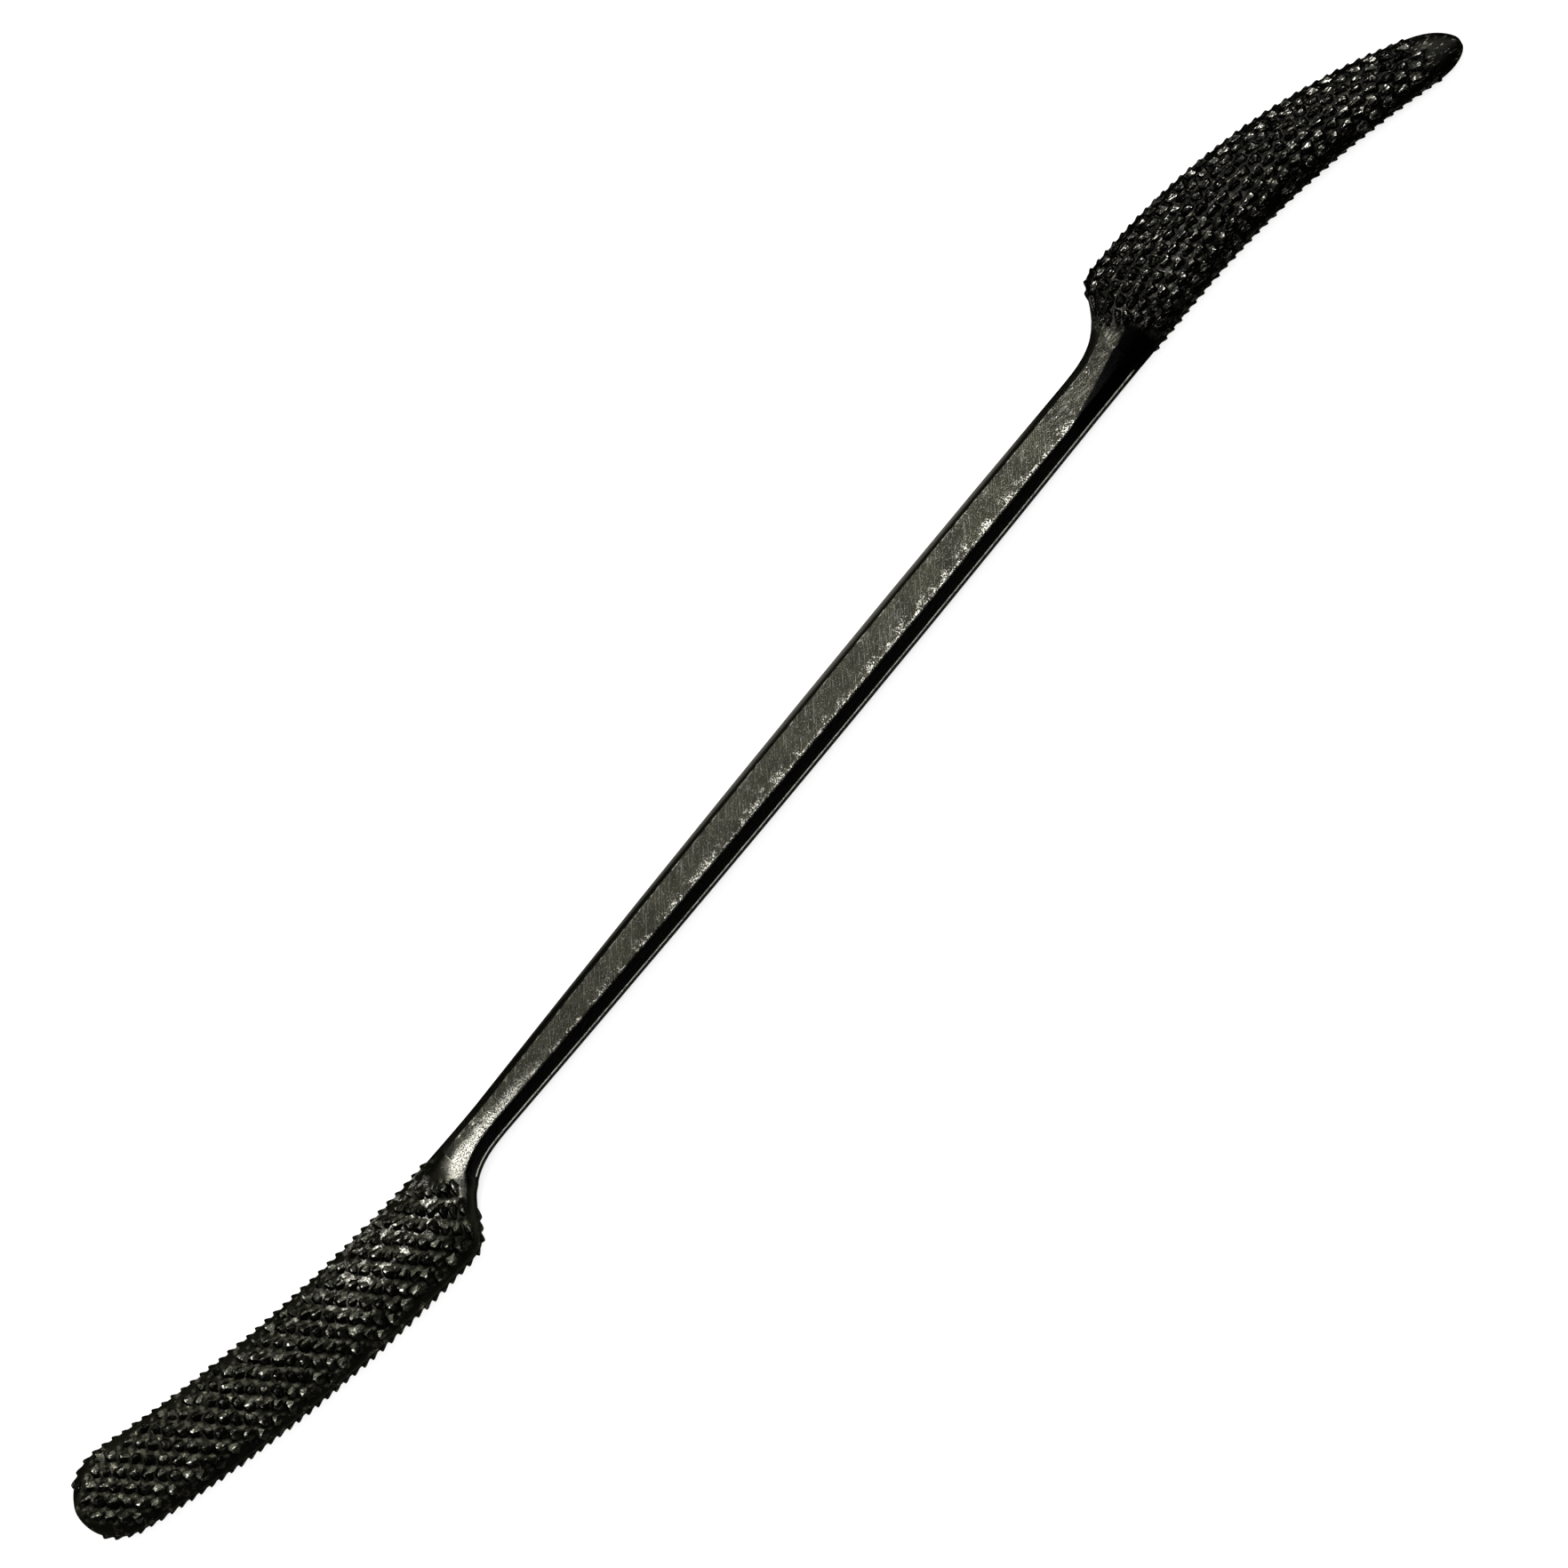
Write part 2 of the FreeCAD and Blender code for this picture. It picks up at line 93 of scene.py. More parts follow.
class Finish:
    """A surface finish on the steel, built up from nodes."""

    def __init__(self, name):
        self.material = bpy.data.materials.new(name)
        self.material.use_nodes = True
        self.tree = self.material.node_tree
        self.tree.nodes.clear()
        metres = self.node("ShaderNodeTexCoord", {}, {}, "Object")
        scale = {0: metres, 1: (1000.0, 1000.0, 1000.0)}
        self.millimetres = self.node("ShaderNodeVectorMath", {"operation": "MULTIPLY"}, scale)

    def node(self, kind, settings, sockets, output=0):
        made = self.tree.nodes.new(kind)
        for name, value in settings.items():
            setattr(made, name, value)
        for name, value in sockets.items():
            if isinstance(value, Layer):
                self.tree.links.new(value.socket, made.inputs[name])
            else:
                made.inputs[name].default_value = value
        return Layer(self, made.outputs[output])

    def noise(self, scale, detail=3.0, turned=0.0, drawn=1.0, moved=(0.0, 0.0, 0.0)):
        """Noise about 1/scale millimetres across, drawn out along a line turned so many degrees from +X."""
        placed = {"Vector": self.millimetres, "Location": moved,
                  "Rotation": (0.0, 0.0, math.radians(turned)), "Scale": (drawn, 1.0, 1.0)}
        at = self.node("ShaderNodeMapping", {"vector_type": "TEXTURE"}, placed)
        sockets = {"Vector": at, "Scale": scale, "Detail": detail, "Roughness": 0.6}
        return self.node("ShaderNodeTexNoise", {}, sockets)

    def strokes(self):
        """Lengthwise strokes of the brush, which run on from each neck into its blade."""
        return self.noise(8.0, 4.0, -6.0, 16.0, (2.0, 5.0, 0.0))

    def along(self, axis):
        return self.node("ShaderNodeSeparateXYZ", {}, {0: self.millimetres}, axis)

    def from_middle(self):
        """Millimetres along the tool from its middle, towards either end."""
        return self.node("ShaderNodeMath", {"operation": "ABSOLUTE"}, {0: self.along(0)})

    def leaning(self, slope):
        """Grows to the +Y side and falls towards +X, so that its steps are slanting lines on the tool."""
        return self.along(1) - self.along(0) * slope

    def mark(self, name):
        """A number kept on the mesh itself, such as whether a face is an eased arris."""
        return self.node("ShaderNodeAttribute", {"attribute_name": name}, {}, "Fac")

    def blend(self, amount, first, second):
        """One colour going over to another."""
        return self.node("ShaderNodeMix", {"data_type": "RGBA"}, {0: amount, 6: first, 7: second}, 2)

    def relief(self, height, depth, under=None):
        """Fine height on the surface, its depth in metres."""
        sockets = {"Height": height, "Distance": depth, "Strength": 1.0}
        if under is not None:
            sockets["Normal"] = under
        return self.node("ShaderNodeBump", {}, sockets)

    def steel(self, colour, roughness, normal):
        sockets = {"Base Color": colour, "Roughness": roughness, "Normal": normal, "Metallic": 1.0,
                   "Specular Tint": (0.35, 0.35, 0.35, 1.0)}
        shader = self.node("ShaderNodeBsdfPrincipled", {}, sockets)
        self.node_out(shader)
        return self.material

    def node_out(self, shader):
        end = self.tree.nodes.new("ShaderNodeOutputMaterial")
        self.tree.links.new(shader.socket, end.inputs["Surface"])


def bar_steel(name):
    """Wheel-ground steel that goes over to brushed forged steel towards both ends of the bar."""
    finish = Finish(name)
    place, side = finish.along(0), finish.along(1)
    forged = finish.from_middle().rising(38.0, 46.0)
    arris, flank = finish.mark("arris"), finish.mark("flank")
    broad = 1 - flank

    # Lines of the wheel, stray scratches, strokes of the brush, the grain of the steel and its stains.
    lines = finish.noise(8.0, 5.0, 16.0, 14.0)
    strays = finish.noise(8.5, 4.0, 44.0, 20.0, (7.0, 3.0, 0.0))
    strokes = finish.strokes()
    grain = finish.noise(7.0, 6.0)
    stains = finish.noise(0.30, 5.0).rising(0.42, 0.62)
    patches = finish.noise(0.8, 3.0, moved=(3.0, 0.0, 0.0)).rising(0.46, 0.60)
    nicks = finish.noise(2.6, 3.0, -8.0, 3.0, (9.0, 1.0, 0.0)).rising(0.64, 0.70)

    # Painted shade on the -Y flank, the facet beside the pointed neck and the +Y side of the round neck.
    rim = arris * side.rising(-1.75, -2.0)
    facet = finish.leaning(0.19).rising(-9.9, -10.2) * place.rising(43.0, 47.0) * (1 - rim)
    shadowed = flank * side.rising(0.5, -0.5) + facet * broad
    dusk = finish.leaning(0.68).rising(32.1, 32.9) * place.rising(-43.5, -45.0) * broad

    # Bright steel: painted sheen in flecks along the -Y arris and on the -Y side of the brushed round neck,
    # scratches on the scored pointed neck, the rubbed arrises, and a painted highlight along the -Y rim.
    beside = side.rising(-0.2, -1.3) * patches + side.rising(-1.0, -1.4) * 0.7
    brushed = place.rising(-30.0, -46.0) * side.rising(0.7, -1.0)
    wear_and_sheen = (beside + patches * 0.2) * grain.rising(0.48, 0.58) + brushed * grain.rising(0.40, 0.54) * 1.3
    scored = strokes.rising(0.53, 0.62) * place.rising(41.0, 46.0) * 0.30
    marks_and_sheen = (nicks * forged * 0.8 + wear_and_sheen + scored) * broad * (1 - facet) * (1 - dusk * 0.9)
    # Rubbed here is real wear together with the painted sheen and highlight.
    rubbed = rim * place.rising(54.5, 50.5) * 0.5 + arris * patches * 0.3 * (1 - facet) + marks_and_sheen

    colour = finish.blend(stains * 0.5 + place.rising(-25.0, 45.0) * 0.4, STEEL, OILED_STEEL)
    colour = finish.blend(lines.rising(0.46, 0.60) * 0.6 * (1 - forged * 0.6), colour, OILED_STEEL)
    flecks = strays.rising(0.56, 0.66) * 0.12 + grain.rising(0.57, 0.66) * 0.14
    colour = finish.blend(flecks * broad, colour, RUBBED_AND_SHEEN_STEEL)
    # Darker steel on the +Y flank, and a painted reflection along its outer part.
    colour = finish.blend(flank * side.rising(0.2, 0.8) * 0.8, colour, SCALE_AND_SHADE)
    colour = finish.blend(flank * side.rising(1.7, 2.7) * (1 - forged) * 0.5, colour, RUBBED_AND_SHEEN_STEEL)
    # Painted shade on the dark bands, then bright steel for wear, sheen and highlight.
    colour = finish.blend(shadowed + dusk * 0.8, colour, SCALE_AND_SHADE)
    colour = finish.blend(facet, colour, BLACK_OIL_AND_SHADE)
    colour = finish.blend(rubbed.rising(0.05, 1.2), colour, RUBBED_AND_SHEEN_STEEL)
    roughness = 0.28 + lines * 0.12 + (forged + stains - rubbed) * 0.04 + grain * 0.08 - shadowed * 0.14
    fine = finish.relief(grain * (forged * 3.0 + 1.0) * (1 - shadowed * 0.8), 0.000016)
    cuts = finish.relief(lines * (1 - forged * 0.6) + strokes * forged + strays * 0.3, 0.000036, fine)
    return finish.steel(colour, roughness, cuts)


def eased_arrises(shape, width):
    """Rounds the long arrises of a forging and marks them, and leaves its cut ends square."""
    ends = [f for f in shape.faces if abs(f.normal.x) > 0.995]
    cut = {e for f in ends for e in f.edges}
    sharp = [e for e in shape.edges if e not in cut and e.calc_face_angle(0.0) > math.radians(22)]
    marks, flanks = shape.loops.layers.float.new("arris"), shape.loops.layers.float.new("flank")
    made = bmesh.ops.bevel(shape, geom=sharp, offset=width, offset_type="OFFSET", segments=2,
                           profile=0.5, affect="EDGES", material=-1, clamp_overlap=True)
    eased = set(made["faces"])
    for face in shape.faces:
        face.smooth = True
        for corner in face.loops:
            corner[marks] = face in eased
            corner[flanks] = face not in eased and abs(face.normal.y) > 0.35 and abs(face.normal.x) < 0.9
    for edge in shape.edges:
        edge.smooth = edge.calc_face_angle(0.0) < math.radians(55)


def stood_for(node, shape, finish):
    """Makes the shaped piece, which takes the place of the plain forging zone of that name."""
    mesh = bpy.data.meshes.new(node + "_steel")
    shape.to_mesh(mesh)
    shape.free()
    mesh.materials.append(finish)
    piece = bpy.data.objects.new(node + "_steel", mesh)
    bpy.context.scene.collection.objects.link(piece)
    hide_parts(node)
    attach(piece, "root")
    return piece


def flats_kept_flat(piece):
    """Shades each broad face by itself, so that only the eased arrises look round."""
    even = piece.modifiers.new("flats", "WEIGHTED_NORMAL")
    even.weight = 90
    even.keep_sharp = True


def taken_from(node):
    shape = bmesh.new()
    shape.from_mesh(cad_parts[node].data)
    bmesh.ops.remove_doubles(shape, verts=shape.verts[:], dist=2e-7)
    return shape


shank = taken_from("shank")
eased_arrises(shank, ARRIS)
flats_kept_flat(stood_for("shank", shank, bar_steel("ground_steel")))

# ---------------------------------------------------------------------------
# The two necks
# Each end of the bar is drawn out under the hammer from the flat shank into its head.
# The steel is left as forged and then brushed, so it is darker and grainier than the shank.
# ---------------------------------------------------------------------------

FORGED = bar_steel("forged_steel")
for end in ("round", "point"):
    neck = taken_from(end + "_neck")
    eased_arrises(neck, ARRIS)
    flats_kept_flat(stood_for(end + "_neck", neck, FORGED))

# ---------------------------------------------------------------------------
# The two blades
# The head of the tool, forged to a flat oval section that bends to one side, round-tipped at one end and
# pointed at the other. Each stroke of the punch leaves a small hollow in the blade ahead of its tooth.
# ---------------------------------------------------------------------------

SKIN = 0.00013
SPIGOT_DEPTH = 0.00015
SPIGOT_SIZE = 0.965
PIT_DEPTH = 0.00016
LIFT_HEIGHT = 0.00007
FORGED_STEEL = (0.019, 0.020, 0.014, 1.0)
WORN_BLADE = (0.22, 0.21, 0.16, 1.0)
ZONES = ("face_teeth", "back_teeth", "belly_teeth", "hollow_teeth")


def tooth_stands(end, zone):
    """Where each tooth of a zone stands: its seat, and its length, width and height as three directions."""
    shape = taken_from(f"{end}_{zone}")
    tipward = -1.0 if end == "round" else 1.0
    waiting = set(shape.verts)
    stands = []
    while waiting:
        start = waiting.pop()
        tooth, todo = [start], [start]
        while todo:
            for edge in todo.pop().link_edges:
                for vert in edge.verts:
                    if vert in waiting:
                        waiting.remove(vert)
                        tooth.append(vert)
                        todo.append(vert)
        peak = max(tooth, key=lambda v: flatness([w.co for w in tooth if w is not v]))
        foot = sorted((v.co.copy() for v in tooth if v is not peak), key=lambda p: tipward * p.x)
        heel, front = (foot[0] + foot[1]) / 2, (foot[2] + foot[3]) / 2
        forward = front - heel
        across = foot[3] - foot[2]
        up = forward.cross(across).normalized()
        seat = heel + forward * 0.62
        if up.dot(peak.co - seat) < 0:
            across, up = -across, -up
        stands.append((seat, forward, across, up * up.dot(peak.co - seat)))
    shape.free()
    return sorted(stands, key=lambda s: tuple(s[0]))


def flatness(points):
    """Larger as four points come nearer to one plane."""
    a, b, c, d = points
    return -abs((b - a).cross(c - a).dot(d - a))


def evened(shape, size):
    """The same solid with a close, even skin that can be worked."""
    mesh = bpy.data.meshes.new("blank")
    shape.to_mesh(mesh)
    shape.free()
    blank = bpy.data.objects.new("blank", mesh)
    bpy.context.scene.collection.objects.link(blank)
    skin = blank.modifiers.new("skin", "REMESH")
    skin.mode = "VOXEL"
    skin.voxel_size = size
    bpy.context.view_layer.update()
    worked = bmesh.new()
    worked.from_mesh(blank.evaluated_get(bpy.context.evaluated_depsgraph_get()).to_mesh())
    bpy.data.objects.remove(blank)
    bpy.data.meshes.remove(mesh)
    return worked


def blade_steel(name, bare, oiled, bright, root, slope, shade):
    """Oiled steel between the teeth, rough from the punch, and brushed like the neck where no teeth stand.

    Bright is how much of it is worn bare and how strong a painted sheen lies on its -Y side. The bare root
    ends at root, in millimetres from the middle of the tool, and beside it painted shade darkens the steel on
    the
    -Y side of the slanting line that slope and shade give, and on the +Y side of a second line by the round
    neck.
    """
    finish = Finish(name)
    reach, side = finish.from_middle(), finish.along(1)
    grain = finish.noise(7.0, 6.0)
    smears = finish.noise(0.9, 4.0, moved=(4.0, 2.0, 0.0))
    streaks = finish.noise(6.0, 3.0, -12.0, 5.0).rising(0.60, 0.68)
    hollow = finish.mark("hollow")

    # Between the teeth: oil in the pits, worn steel round them, and bare patches near the root.
    worn = (1 - hollow) * smears.rising(0.56, 0.66) * grain.rising(0.38, 0.60) * bright
    middle = reach.rising(root + 26.0, root + 6.0) * side.rising(3.5, 1.5) * side.rising(-4.5, -2.5)
    bared = smears.rising(0.50, 0.58) * grain.rising(0.40, 0.55) * middle * bright * 1.2
    colour = finish.blend(grain.rising(0.35, 0.65) * (1 - hollow * 0.6), oiled, bare)
    colour = finish.blend(worn + streaks * (0.8 - bright) * 0.5, colour, WORN_BLADE)
    colour = finish.blend(bared, colour, RUBBED_AND_SHEEN_STEEL)

    # The root, which carries on the brushed steel of the neck with its painted sheen, and its painted shade.
    scored = finish.strokes().rising(0.53, 0.62) * (0.8 - bright) * 0.4
    wear_and_sheen = side.rising(0.7, -1.0) * grain.rising(0.40, 0.54) * bright + scored
    brushed = finish.blend(wear_and_sheen, FORGED_STEEL, RUBBED_AND_SHEEN_STEEL)
    colour = finish.blend(reach.rising(root, root + 1.5), brushed, colour)
    # Painted shade: dark bands beside the root, coloured as the oiled steel.
    dark = finish.leaning(slope).rising(shade, shade - 0.4) + finish.leaning(0.68).rising(32.1, 32.9) * 0.8
    shaded = dark * reach.rising(root + 3.5, root + 2.0)
    colour = finish.blend(shaded, colour, oiled)
    roughness = 0.34 + grain * 0.16 - worn * 0.10 - shaded * 0.12
    return finish.steel(colour, roughness, finish.relief(grain * (1 - shaded * 0.7), 0.000040))


def run_into_neck(blade, tipward):
    """Draws the root of the blade out a little way into the neck, so that no gap shows between them."""
    root = min(tipward * v.co.x for v in blade.verts)
    facing = [f for f in blade.faces if tipward * f.normal.x < -0.99]
    cut_end = [f for f in facing if tipward * f.verts[0].co.x < root + 0.0006]
    drawn = bmesh.ops.extrude_face_region(blade, geom=cut_end)["geom"]
    spigot = [v for v in drawn if isinstance(v, bmesh.types.BMVert)]
    bmesh.ops.delete(blade, geom=cut_end, context="FACES_ONLY")
    middle = sum((v.co for v in spigot), Vector()) / len(spigot)
    narrowed = (1.0, SPIGOT_SIZE, SPIGOT_SIZE)
    bmesh.ops.scale(blade, vec=narrowed, verts=spigot, space=Matrix.Translation(-middle))
    bmesh.ops.translate(blade, vec=(-tipward * SPIGOT_DEPTH, 0.0, 0.0), verts=spigot)


def struck(blade, places):
    """Sinks a pit ahead of each tooth and lifts the steel behind it a little, as the blow of the punch does."""
    marks = blade.verts.layers.float.new("hollow")
    blade.verts.ensure_lookup_table()
    skin = kdtree.KDTree(len(blade.verts))
    for vert in blade.verts:
        skin.insert(vert.co, vert.index)
    skin.balance()
    pushed = {}
    for seat, forward, across, up in places:
        out = up.normalized()
        pit = (seat + forward * 0.72, across.length * 0.46, -PIT_DEPTH)
        lift = (seat - forward * 0.55, across.length * 0.5, LIFT_HEIGHT)
        for middle, reach, rise in (pit, lift):
            for place, index, gap in skin.find_range(middle, reach):
                fall = (1 - (gap / reach) ** 2) ** 2
                pushed[index] = pushed.get(index, Vector()) + out * rise * fall
                if rise < 0:
                    blade.verts[index][marks] = max(blade.verts[index][marks], fall)
    for index, shift in pushed.items():
        blade.verts[index].co += shift


BLADES = {
    "round": blade_steel("blade_steel", bare=(0.018, 0.018, 0.013, 1.0), oiled=OILED_STEEL,
                         bright=0.7, root=48.5, slope=0.96, shade=44.4),
    "point": blade_steel("dark_blade_steel", bare=(0.005, 0.005, 0.004, 1.0), oiled=BLACK_OIL_AND_SHADE,
                         bright=0.05, root=54.3, slope=0.19, shade=-9.9),
}
stands = {}
for end in ("round", "point"):
    for zone in ZONES:
        stands[end, zone] = tooth_stands(end, zone)
    blade = taken_from(end + "_blade")
    run_into_neck(blade, -1.0 if end == "round" else 1.0)
    blade = evened(blade, SKIN)
    struck(blade, stands[end, "face_teeth"] + stands[end, "back_teeth"])
    for face in blade.faces:
        face.smooth = True
    stood_for(end + "_blade", blade, BLADES[end])

# ---------------------------------------------------------------------------
# The teeth
# Each tooth is a burr of the blade's own steel, raised by one slanting blow of a pointed punch: a rounded
# back, a point that leans to the tip and a steep front. They stand in leaning rows, and along each edge.
# ---------------------------------------------------------------------------

TOOTH_STEEL = (0.014, 0.015, 0.011, 1.0)
DARK_TOOTH_STEEL = (0.007, 0.007, 0.006, 1.0)
DARK_OILED_STEEL = (0.003, 0.003, 0.0025, 1.0)
TOOTH_SEED = 41


def upright_cone(sides, top, swell):
    """A blunt cone of unit height on z = 0 whose sides belly out half way up."""
    tooth = bmesh.new()
    bmesh.ops.create_cone(tooth, cap_ends=True, segments=sides, radius1=0.5, radius2=top, depth=1.0)
    bmesh.ops.translate(tooth, vec=(0.0, 0.0, 0.5), verts=tooth.verts[:])
    rising = [e for e in tooth.edges if abs(e.verts[0].co.z - e.verts[1].co.z) > 0.5]
    bmesh.ops.subdivide_edges(tooth, edges=rising, cuts=1)
    waist = [v for v in tooth.verts if 0.3 < v.co.z < 0.7]
    bmesh.ops.scale(tooth, vec=(swell, swell, 1.1), verts=waist)
    return tooth


def cut_front(tooth, lean):
    """Draws the heel out, leans the tooth to the tip and cuts its front flat, as the punch leaves it."""
    heel = [v for v in tooth.verts if v.co.x < -0.05]
    bmesh.ops.scale(tooth, vec=(1.24, 0.85, 1.0), verts=heel)
    leaned = Matrix(((1, 0, lean, 0), (0, 1, 0, 0), (0, 0, 1, 0), (0, 0, 0, 1)))
    bmesh.ops.transform(tooth, matrix=leaned, verts=tooth.verts[:])
    geom = tooth.verts[:] + tooth.edges[:] + tooth.faces[:]
    bmesh.ops.bisect_plane(tooth, geom=geom, plane_co=(0.38, 0, 0), plane_no=(1, 0, 0.25), clear_outer=True)
    bmesh.ops.holes_fill(tooth, edges=[e for e in tooth.edges if e.is_boundary], sides=0)
    return tooth


def bead_tooth():
    """One tooth of unit length, width and height from the round head: a domed burr with a blunt point."""
    tooth = upright_cone(6, 0.08, 1.08)
    return cut_front(tooth, 0.18)


def ridge_tooth():
    """One tooth of the pointed head, of unit size: a long narrow burr with a keel along its back."""
    tooth = upright_cone(8, 0.36, 1.10)
    keel = [v for v in tooth.verts if v.co.z > 0.9]
    bmesh.ops.scale(tooth, vec=(1.45, 0.10, 1.0), verts=keel)
    bmesh.ops.translate(tooth, vec=(0.0, 0.0, -0.16), verts=[v for v in keel if v.co.x < -0.1])
    return cut_front(tooth, 0.10)


def wedge_tooth():
    """One edge tooth of unit length, width and height: a flat-sided pyramid with eased corners."""
    tooth = bmesh.new()
    bmesh.ops.create_cone(tooth, cap_ends=True, segments=4, radius1=math.sqrt(0.5), radius2=0.0, depth=1.0)
    bmesh.ops.rotate(tooth, verts=tooth.verts[:], matrix=Matrix.Rotation(math.radians(45), 3, "Z"))
    bmesh.ops.translate(tooth, vec=(0.0, 0.0, 0.5), verts=tooth.verts[:])
    heel = [v for v in tooth.verts if v.co.x < -0.1]
    bmesh.ops.scale(tooth, vec=(1.24, 0.5, 1.0), verts=heel)
    front = [v for v in tooth.verts if v.co.x > 0.1]
    bmesh.ops.scale(tooth, vec=(0.76, 1.0, 1.0), verts=front)
    bmesh.ops.translate(tooth, vec=(0.08, 0.0, 0.03), verts=[max(tooth.verts, key=lambda v: v.co.z)])
    rims = [e for e in tooth.edges if max(v.co.z for v in e.verts) > 0.5]
    bmesh.ops.bevel(tooth, geom=rims, offset=0.09, offset_type="OFFSET", segments=2, profile=0.5,
                    affect="EDGES", material=-1)
    return tooth


def tooth_steel(name, bare, oiled, worn_from, fine, rough, scored):
    """Steel of the teeth: dark flanks, points rubbed bright, and each tooth a little different.

    Worn_from is the share of a tooth's height above which it is rubbed, fine the closeness of its bright
    streaks, scored how much of it they take, and rough the depth of its grain in metres.
    """
    finish = Finish(name)
    height, pick = finish.mark("height"), finish.mark("pick")
    grain = finish.noise(6.0, 4.0)
    streaks = finish.noise(fine, 3.0, -8.0, 8.0).rising(0.59, 0.65) * height.rising(0.2, 0.6)
    worn = height.rising(worn_from, worn_from + 0.14) * pick.rising(0.1, 1.1) * grain.rising(0.40, 0.56)
    colour = finish.blend(grain.rising(0.35, 0.65), oiled, bare)
    colour = finish.blend(worn + streaks * scored, colour, RUBBED_AND_SHEEN_STEEL)
    roughness = 0.17 + pick * 0.10 + grain * 0.14
    return finish.steel(colour, roughness, finish.relief(grain, rough))


def punched(places, master, size, jitter, ragged, seed):
    """All teeth of one zone, each a copy of the master tooth with its own small errors of the hand.

    Size is how much longer and wider than its seat a tooth is, jitter the error in its size, turn and place,
    and ragged the error of its corners, both as shares of its size.
    """
    hand = random.Random(seed)
    zone = bmesh.new()
    height, pick = zone.verts.layers.float.new("height"), zone.verts.layers.float.new("pick")
    for seat, forward, across, up in places:
        long, wide, high = (hand.uniform(1 - jitter, 1 + jitter) for _ in range(3))
        turn = Matrix.Rotation(hand.uniform(-2.2, 2.2) * jitter, 4, "Z")
        stretch = Matrix.Diagonal((long * size[0], wide * size[1], min(high, 1.04), 1.0))
        aside = (forward * hand.uniform(-0.3, 0.3) + across * hand.uniform(-0.3, 0.3)) * jitter
        shape = Matrix((forward, across, up)).transposed().to_4x4()
        chosen = hand.random()
        before = len(zone.verts)
        mesh = bpy.data.meshes.new("tooth")
        master.to_mesh(mesh)
        zone.from_mesh(mesh)
        bpy.data.meshes.remove(mesh)
        zone.verts.ensure_lookup_table()
        fresh = zone.verts[before:]
        for vert in fresh:
            vert[height] = vert.co.z
            vert[pick] = chosen
            if vert.co.z > 0.1:
                vert.co += Vector([hand.uniform(-ragged, ragged) for _ in range(3)])
        stood = Matrix.Translation(seat + aside) @ shape @ stretch @ turn
        bmesh.ops.transform(zone, matrix=stood, verts=fresh)
    bmesh.ops.recalc_face_normals(zone, faces=zone.faces[:])
    for face in zone.faces:
        face.smooth = True
    for edge in zone.edges:
        edge.smooth = edge.calc_face_angle(0.0) < math.radians(30)
    return zone


TEETH = {
    "round": tooth_steel("tooth_steel", TOOTH_STEEL, OILED_STEEL,
                         worn_from=0.82, fine=7.0, rough=0.000045, scored=0.35),
    "point": tooth_steel("dark_tooth_steel", DARK_TOOTH_STEEL, DARK_OILED_STEEL,
                         worn_from=0.94, fine=13.0, rough=0.000028, scored=0.8),
}
MASTERS = {"round": bead_tooth(), "point": ridge_tooth(), "edge": wedge_tooth()}
SIZES = {"round": (1.28, 1.40), "point": (1.36, 1.24), "edge": (1.0, 1.0)}
ERRORS = {"round": (0.18, 0.08), "point": (0.16, 0.03), "edge": (0.06, 0.0)}
for number, (end, zone) in enumerate(stands):
    kind = "edge" if zone in ("belly_teeth", "hollow_teeth") else end
    teeth = punched(stands[end, zone], MASTERS[kind], SIZES[kind], *ERRORS[kind], TOOTH_SEED + number)
    stood_for(f"{end}_{zone}", teeth, TEETH[end])
for master in MASTERS.values():
    master.free()

# ---------------------------------------------------------------------------
# The bench, the light and the camera
# A plain white sheet under two soft lamps, seen from nearly straight above with the tool lying across it.
# The sheet glows as a painted light, with a painted contact shadow where the tool all but touches it.
# ---------------------------------------------------------------------------

SHEET_SIZE = 6.0
SHEET_GAP = 0.00002
PICTURE_WIDTH = 0.15306
OFF_CENTRE = 0.0017354
MID_TOOL = (-0.0004, 0.0, 0.0016)
TILT = math.radians(18)
ALONG, ACROSS = 0.6354, 0.7721
LENS = 180.0
FILM = 36.0


def white_sheet():
    finish = Finish("white_sheet")
    mottle = finish.noise(0.02, 2.0)
    colour = finish.blend(mottle, (0.13, 0.13, 0.13, 1.0), (0.15, 0.15, 0.15, 1.0))
    # Painted contact shadow: the sheet's glow dims where the tool closes off the open sky above it.
    open_sky = finish.node("ShaderNodeAmbientOcclusion", {"samples": 8}, {"Distance": 0.0022}, "AO")
    glow = finish.blend(open_sky.rising(0.10, 0.62), (0.60, 0.60, 0.60, 1.0), (1.0, 1.0, 1.0, 1.0))
    sockets = {"Base Color": colour, "Roughness": 0.9, "Emission Color": glow,
               "Emission Strength": 1.0, "Specular IOR Level": 0.0}
    finish.node_out(finish.node("ShaderNodeBsdfPrincipled", {}, sockets))
    return finish.material


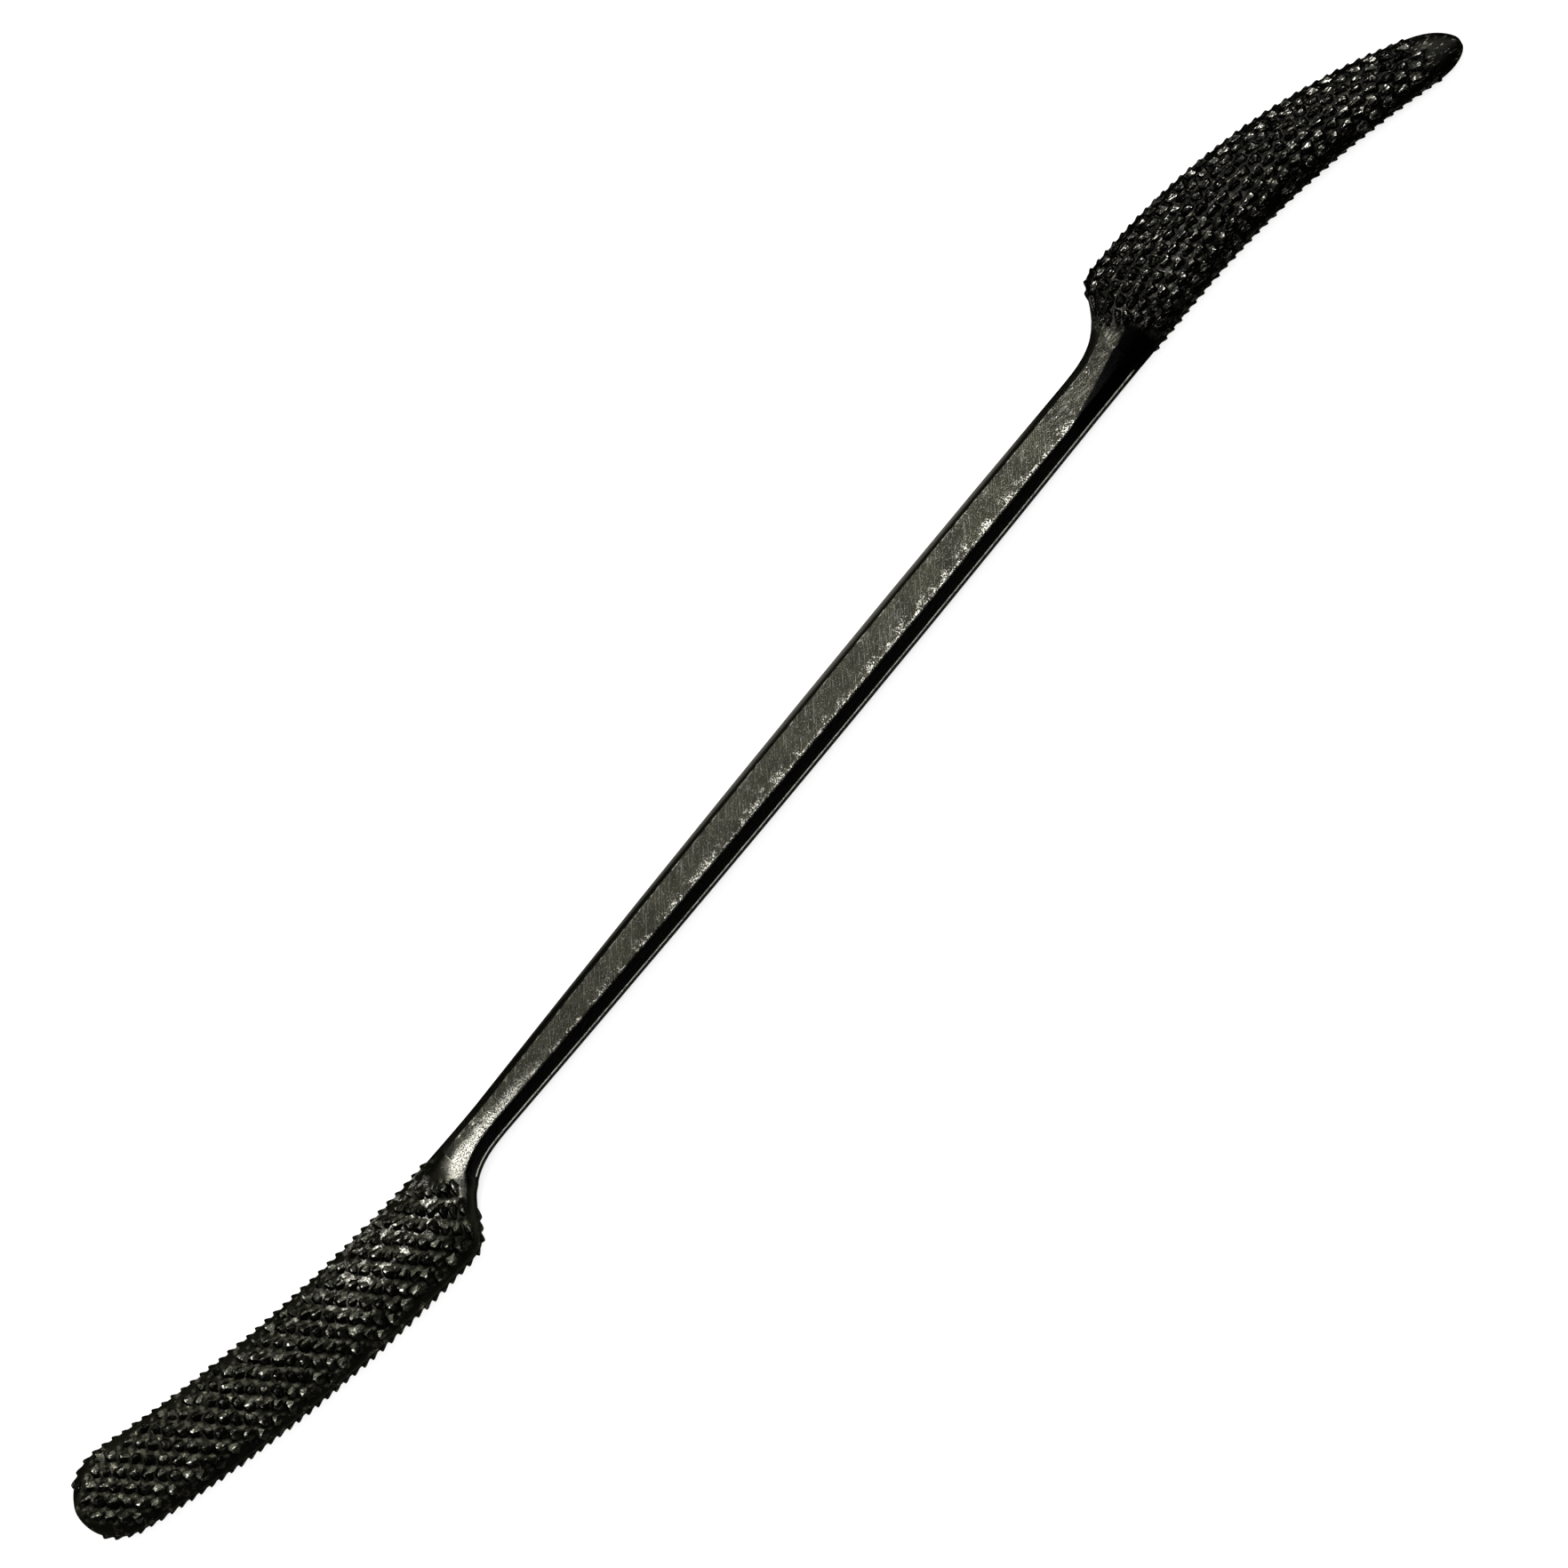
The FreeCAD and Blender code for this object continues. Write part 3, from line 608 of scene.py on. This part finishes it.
sheet_shape = bmesh.new()
bmesh.ops.create_grid(sheet_shape, x_segments=1, y_segments=1, size=SHEET_SIZE / 2)
sheet_mesh = bpy.data.meshes.new("sheet")
sheet_shape.to_mesh(sheet_mesh)
sheet_shape.free()
sheet_mesh.materials.append(white_sheet())
sheet = bpy.data.objects.new("sheet", sheet_mesh)
bpy.context.scene.collection.objects.link(sheet)
sheet.location = (0.0, 0.0, -SHEET_GAP)


def lamp(name, toward, distance, size, power):
    """A soft lamp that stands at a distance in one direction from the tool and shines back at it."""
    light = bpy.data.lights.new(name, "AREA")
    light.shape = "RECTANGLE"
    light.size, light.size_y = size
    light.energy = power
    holder = bpy.data.objects.new(name, light)
    bpy.context.scene.collection.objects.link(holder)
    aim = Vector(toward).normalized()
    holder.location = aim * distance
    holder.rotation_mode = "QUATERNION"
    holder.rotation_quaternion = aim.to_track_quat("Z", "Y")


lamp("key", (0.40, 0.42, 0.81), 0.7, (0.24, 0.18), 8.5)
lamp("fill", (-0.45, 0.45, 0.78), 0.8, (0.20, 0.20), 1.2)

world = bpy.data.worlds.new("room")
world.use_nodes = True
world.node_tree.nodes["Background"].inputs["Color"].default_value = (0.10, 0.10, 0.105, 1.0)
world.node_tree.nodes["Background"].inputs["Strength"].default_value = 0.35
bpy.context.scene.world = world

# The camera leans 18 degrees to the -Y side, and is rolled so that the shank rises to the right.
upward = Vector((0.0, math.cos(TILT), math.sin(TILT)))
right = Vector((ALONG, 0.0, 0.0)) - upward * ACROSS
above = Vector((ACROSS, 0.0, 0.0)) + upward * ALONG
back = right.cross(above).normalized()
aim = Vector(MID_TOOL) + right * OFF_CENTRE
lens = bpy.data.cameras.new("camera")
lens.sensor_width = FILM
lens.lens = LENS
camera = bpy.data.objects.new("camera", lens)
bpy.context.scene.collection.objects.link(camera)
camera.rotation_mode = "QUATERNION"
camera.rotation_quaternion = Matrix((right, above, back)).transposed().to_quaternion()
camera.location = aim + back * (PICTURE_WIDTH * LENS / FILM)
lens.clip_start, lens.clip_end = 0.01, 20.0
bpy.context.scene.camera = camera
bpy.context.scene.view_settings.view_transform = "Standard"
